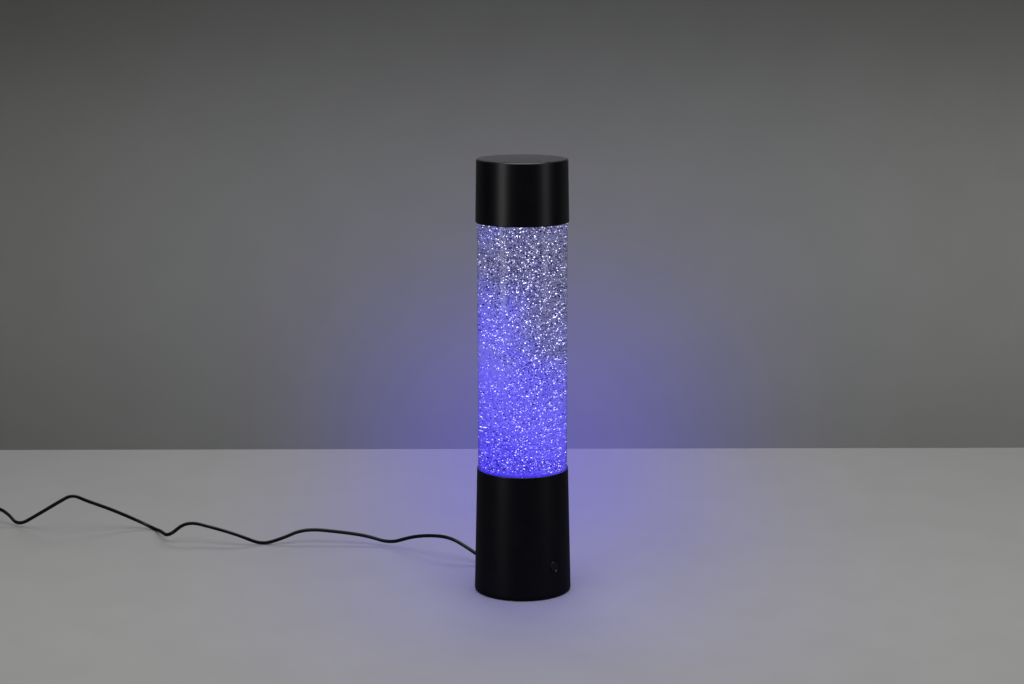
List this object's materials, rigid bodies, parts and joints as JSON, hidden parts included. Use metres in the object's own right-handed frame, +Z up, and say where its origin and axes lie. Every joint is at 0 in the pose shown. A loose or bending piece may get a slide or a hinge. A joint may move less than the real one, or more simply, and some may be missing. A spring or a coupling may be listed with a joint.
{
  "type": "glitter lamp",
  "caption": "Tall round glitter lamp: black tapered base and cap, clear liquid column lit blue from below, with drifting glitter, a press button and a USB lead.",
  "frame": {"origin": "centre of the circle that the lamp stands on, at table height", "axes": "+Z up along the lamp's own axis, -Y towards the viewer who faces the front, +X to the viewer's right"},
  "size_m": [0.6364, 0.2772, 0.3776],
  "materials": {
    "black_plastic": "satin",
    "clear_plastic": "polished",
    "blue_liquid": "clear",
    "silver_film": "metallic",
    "diffuser_plastic": "frosted",
    "white_plastic": "satin",
    "soft_rubber": "matte",
    "grey_foam": "matte",
    "black_flex": "satin",
    "zinc_steel": "zinc plated",
    "motor_steel": "nickel plated",
    "bronze": "sintered",
    "ferrite": "matte",
    "magnet_nickel": "nickel plated",
    "copper_winding": "enamelled",
    "green_board": "solder mask",
    "white_board": "solder mask",
    "chip_black": "matte",
    "capacitor_sleeve": "sleeved",
    "led_white": "gloss",
    "red_wire": "gloss",
    "steel_pin": "polished",
    "usb_steel": "plated",
    "gold_contact": "gold plated",
    "cap_grey": "satin"
  },
  "bodies": {
    "lamp": {"base_housing": "black_plastic", "bottom_cover": "black_plastic", "rubber_feet": "soft_rubber", "cover_screws": "zinc_steel", "control_board": "green_board", "board_chips": "chip_black", "board_capacitor": "capacitor_sleeve", "board_sockets": "white_plastic", "board_screws": "zinc_steel", "switch_body": "chip_black", "switch_board": "green_board", "switch_leads": "red_wire", "motor_pad": "grey_foam", "motor_can": "motor_steel", "motor_end_cap": "white_plastic", "motor_bushes": "bronze", "motor_field_magnets": "ferrite", "motor_screws": "zinc_steel", "motor_leads": "red_wire", "led_board": "white_board", "led_emitters": "led_white", "led_board_screws": "zinc_steel", "led_leads": "white_plastic", "reflector_cup": "white_plastic", "light_window": "diffuser_plastic", "seat_ring": "grey_foam", "bottle": "clear_plastic", "glitter_flakes": "silver_film", "glitter_liquid": "blue_liquid", "stirrer_pin": "steel_pin", "closure_seal": "soft_rubber", "bottle_closure": "white_plastic", "top_cap": "black_plastic", "strain_relief": "soft_rubber", "inner_lead": "black_flex", "power_cord": "black_flex", "cord_coil": "black_flex", "cord_tie": "black_flex", "cord_tail": "black_flex", "usb_plug_body": "black_plastic", "usb_plug_shell": "usb_steel", "usb_plug_tongue": "white_plastic", "usb_plug_contacts": "gold_contact"},
    "button": {"button_cap": "cap_grey", "switch_plunger": "white_plastic"},
    "rotor": {"motor_armature": "copper_winding", "motor_shaft": "steel_pin", "magnet_carrier": "white_plastic", "carrier_magnets": "magnet_nickel"},
    "stirrer": {"stirrer": "clear_plastic", "stirrer_magnets": "magnet_nickel"}
  },
  "joints": [
    {"name": "button_press", "type": "slide", "parent": "lamp", "child": "button", "axis": [-0.6521, 0.7581, 0], "range_m": [0, 0.0006], "stiffness_N_per_m": 2600},
    {"name": "motor_spin", "type": "hinge", "parent": "lamp", "child": "rotor", "pos_m": [0, 0, 0.07], "axis": [0, 0, 1], "continuous": true},
    {"name": "stirrer_spin", "type": "hinge", "parent": "lamp", "child": "stirrer", "pos_m": [0, 0, 0.097], "axis": [0, 0, 1], "continuous": true}
  ],
  "couplings": [
    {"joint": "stirrer_spin", "follows": "motor_spin", "ratio": 1}
  ]
}
